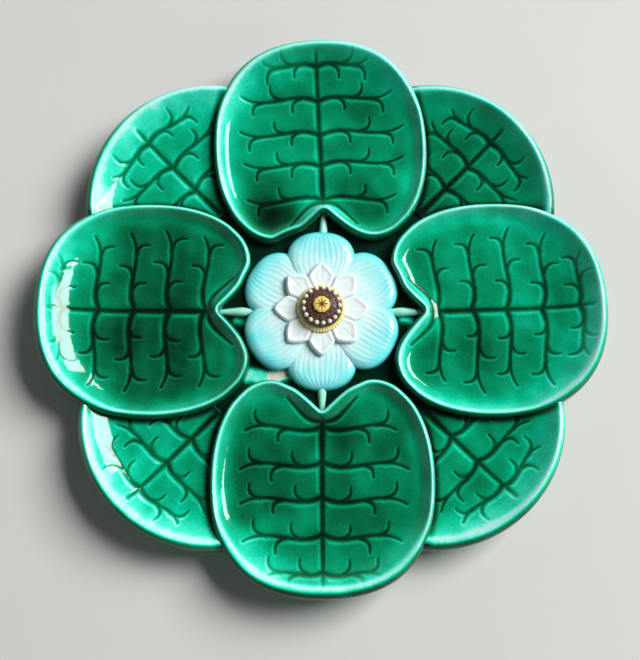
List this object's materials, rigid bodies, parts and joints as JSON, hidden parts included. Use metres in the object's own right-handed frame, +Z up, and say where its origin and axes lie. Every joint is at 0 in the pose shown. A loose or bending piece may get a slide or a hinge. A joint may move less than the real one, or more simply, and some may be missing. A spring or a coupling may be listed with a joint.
{
  "type": "lily pad plate",
  "caption": "Scalloped glazed earthenware plate moulded as overlapping dished lily pads around a raised water lily, standing on a foot ring.",
  "frame": {"origin": "centre of the foot ring, on its underside, where the plate meets what it lies on", "axes": "+Z up out of the dish, +X through the right-hand front pad, +Y through the top front pad"},
  "size_m": [0.225, 0.225, 0.0218],
  "materials": {
    "dark_glaze": "glossy lead glaze, dark green where it pools",
    "front_glaze": "glossy emerald lead glaze, pale where it thins",
    "rear_glaze": "glossy emerald lead glaze, pale where it thins",
    "stalk_glaze": "glossy pale green glaze",
    "petal_glaze": "glossy pale turquoise glaze",
    "inner_petal_glaze": "glossy white glaze with a turquoise tint",
    "yellow_glaze": "glossy yellow glaze",
    "bead_glaze": "glossy cream glaze",
    "brown_glaze": "mottled manganese brown glaze"
  },
  "bodies": {
    "root": {"plate_body": "dark_glaze", "foot_ring": "dark_glaze", "front_pad_right": "front_glaze", "front_pad_top": "front_glaze", "front_pad_left": "front_glaze", "front_pad_bottom": "front_glaze", "rear_pad_upper_right": "rear_glaze", "rear_pad_upper_left": "rear_glaze", "rear_pad_lower_left": "rear_glaze", "rear_pad_lower_right": "rear_glaze", "stalk_right": "stalk_glaze", "stalk_top": "stalk_glaze", "stalk_left": "stalk_glaze", "stalk_bottom": "stalk_glaze", "outer_petal_top": "petal_glaze", "outer_petal_lower_left": "petal_glaze", "outer_petal_lower_right": "petal_glaze", "outer_petal_upper_right": "petal_glaze", "outer_petal_upper_left": "petal_glaze", "outer_petal_bottom": "petal_glaze", "inner_petal_1": "inner_petal_glaze", "inner_petal_2": "inner_petal_glaze", "inner_petal_3": "inner_petal_glaze", "inner_petal_4": "inner_petal_glaze", "inner_petal_5": "inner_petal_glaze", "inner_petal_6": "inner_petal_glaze", "inner_petal_7": "inner_petal_glaze", "inner_petal_8": "inner_petal_glaze", "stamen_fringe": "yellow_glaze", "bead_ring": "bead_glaze", "seed_head": "brown_glaze", "stigma_disc": "yellow_glaze"}
  },
  "joints": []
}
